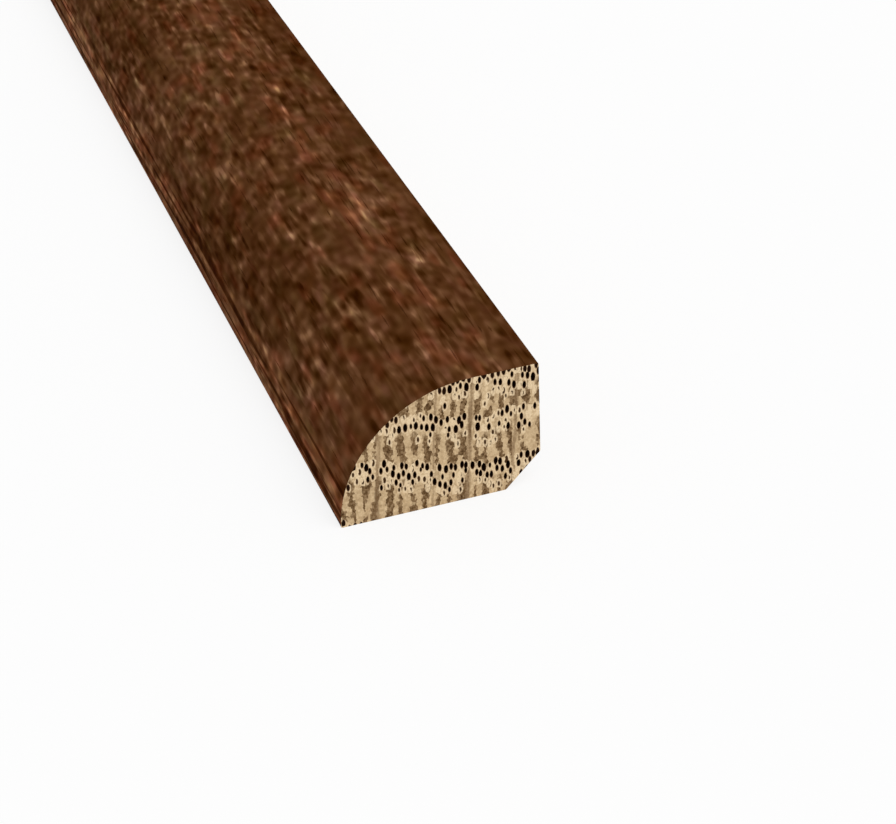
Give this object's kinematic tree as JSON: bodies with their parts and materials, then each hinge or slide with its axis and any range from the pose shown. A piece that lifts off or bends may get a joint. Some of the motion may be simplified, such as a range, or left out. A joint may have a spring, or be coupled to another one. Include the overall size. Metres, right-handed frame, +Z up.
{
  "type": "shoe moulding",
  "caption": "Straight length of stained oak trim with a rounded show face, a flat heel and a bevelled back corner, fixed along the joint of baseboard and floor.",
  "frame": {"origin": "middle of the wall face's underside box: mid-length, mid-width, on the surface the stick lies on", "axes": "+Y along the length away from the near end, +X towards the floor face, +Z up from the wall face"},
  "size_m": [0.019, 1.9812, 0.0127],
  "materials": {
    "stained_oak": "dark brown stain under a satin clear coat on the show face, raw oak on the sawn ends and the backs"
  },
  "bodies": {
    "root": {"shoe_moulding": "stained_oak"}
  },
  "joints": []
}
